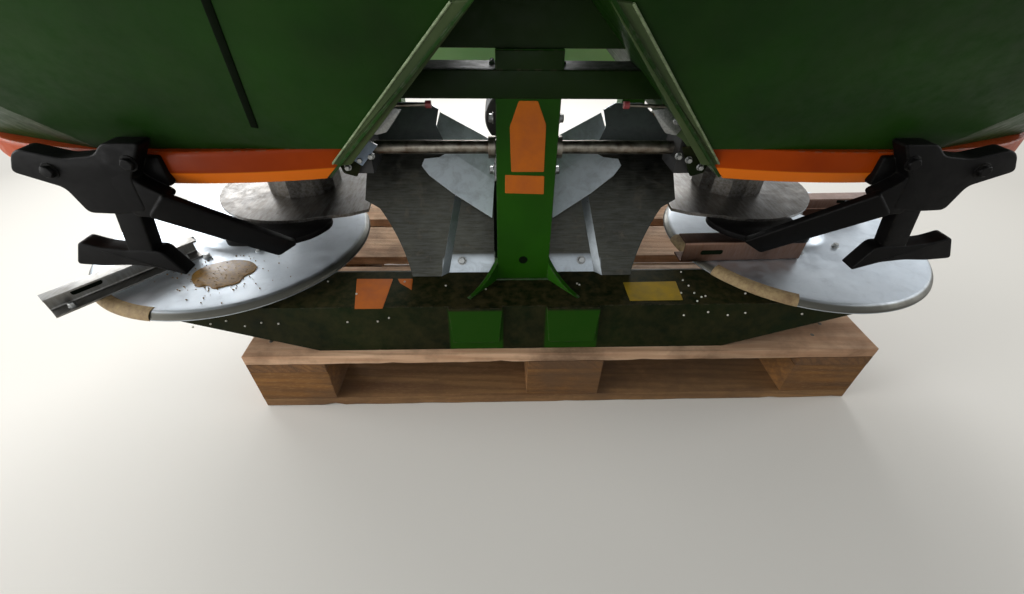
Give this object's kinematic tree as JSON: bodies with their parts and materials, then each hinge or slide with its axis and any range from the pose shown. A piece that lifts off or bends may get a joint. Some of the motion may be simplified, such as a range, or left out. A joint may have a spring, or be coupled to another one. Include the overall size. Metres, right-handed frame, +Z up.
{
  "type": "twin-disc fertilizer spreader",
  "caption": "Mounted fertilizer spreader with two spreading discs under a twin-tip hopper, a headstock and a drive stub, standing on a wooden pallet.",
  "frame": {"origin": "on the floor under the pallet's middle runner, in the machine's centre plane", "axes": "+X across the machine to the right as seen from behind, +Y to the tractor, +Z up"},
  "size_m": [2.218, 1.239, 1.24],
  "materials": {
    "pallet_wood": "rough-sawn",
    "green_paint": "satin",
    "dark_green_paint": "satin",
    "orange_paint": "satin",
    "stainless": "brushed",
    "bare_steel": "worn",
    "black_paint": "satin",
    "black_plastic": "matte",
    "cast_grey": "painted",
    "zinc_plate": "zinc plated"
  },
  "bodies": {
    "machine": {"pallet_top_boards": "pallet_wood", "pallet_cross_boards": "pallet_wood", "pallet_blocks": "pallet_wood", "pallet_runners": "pallet_wood", "rear_beam": "dark_green_paint", "centre_post": "green_paint", "post_cross_beam": "dark_green_paint", "centre_gearbox": "cast_grey", "drive_tubes": "dark_green_paint", "disc_gearboxes": "cast_grey", "input_tube": "dark_green_paint", "pto_guard": "black_plastic", "frame_rails": "dark_green_paint", "headstock_lower_beam": "green_paint", "headstock_uprights": "green_paint", "headstock_upper_beam": "green_paint", "headstock_front_plate": "green_paint", "hopper_supports": "green_paint", "lower_link_pins": "bare_steel", "top_link_clevis": "green_paint", "hopper_rear_panel": "green_paint", "hopper_front_panel": "green_paint", "hopper_left_panel": "green_paint", "hopper_right_panel": "green_paint", "ridge_left_panel": "green_paint", "ridge_right_panel": "green_paint", "hopper_band": "green_paint", "hopper_rim": "green_paint", "skirt_left": "orange_paint", "skirt_right": "orange_paint", "tip_floor_left": "stainless", "tip_floor_right": "stainless", "outlet_plate_left": "stainless", "outlet_plate_right": "stainless", "outlet_shutters": "stainless", "agitator_bearings": "black_plastic", "guard_arm_left": "black_paint", "guard_arm_right": "black_paint", "deflector_left": "stainless", "deflector_right": "stainless", "centre_tie": "green_paint", "sieve_ledges": "green_paint"},
    "disc_left": {"disc_left": "stainless", "vanes_left": "stainless"},
    "disc_right": {"disc_right": "stainless", "vanes_right": "stainless"},
    "agitator": {"agitator_shaft": "bare_steel"},
    "pto": {"pto_shaft": "bare_steel"},
    "sieve_left": {"sieve_left": "zinc_plate"},
    "sieve_right": {"sieve_right": "zinc_plate"}
  },
  "joints": [
    {"name": "disc_left_spin", "type": "hinge", "parent": "machine", "child": "disc_left", "pos_m": [-0.589, -0.15, 0.257], "axis": [0, 0, 1], "continuous": true},
    {"name": "disc_right_spin", "type": "hinge", "parent": "machine", "child": "disc_right", "pos_m": [0.589, -0.15, 0.257], "axis": [0, 0, 1], "continuous": true},
    {"name": "agitator_spin", "type": "hinge", "parent": "machine", "child": "agitator", "pos_m": [0, -0.242, 0.474], "axis": [1, 0, 0], "continuous": true},
    {"name": "pto_spin", "type": "hinge", "parent": "machine", "child": "pto", "pos_m": [0, 0.5, 0.32], "axis": [0, 1, 0], "continuous": true},
    {"name": "sieve_left_hinge", "type": "hinge", "parent": "machine", "child": "sieve_left", "pos_m": [-0.026, -0.12, 1.066], "axis": [0, 1, 0], "range_deg": [0, 85]},
    {"name": "sieve_right_hinge", "type": "hinge", "parent": "machine", "child": "sieve_right", "pos_m": [0.026, -0.12, 1.066], "axis": [0, -1, 0], "range_deg": [0, 85]}
  ],
  "couplings": [
    {"joint": "disc_right_spin", "follows": "disc_left_spin", "ratio": -1},
    {"joint": "agitator_spin", "follows": "disc_left_spin", "ratio": 0.25},
    {"joint": "pto_spin", "follows": "disc_left_spin", "ratio": 0.75}
  ]
}
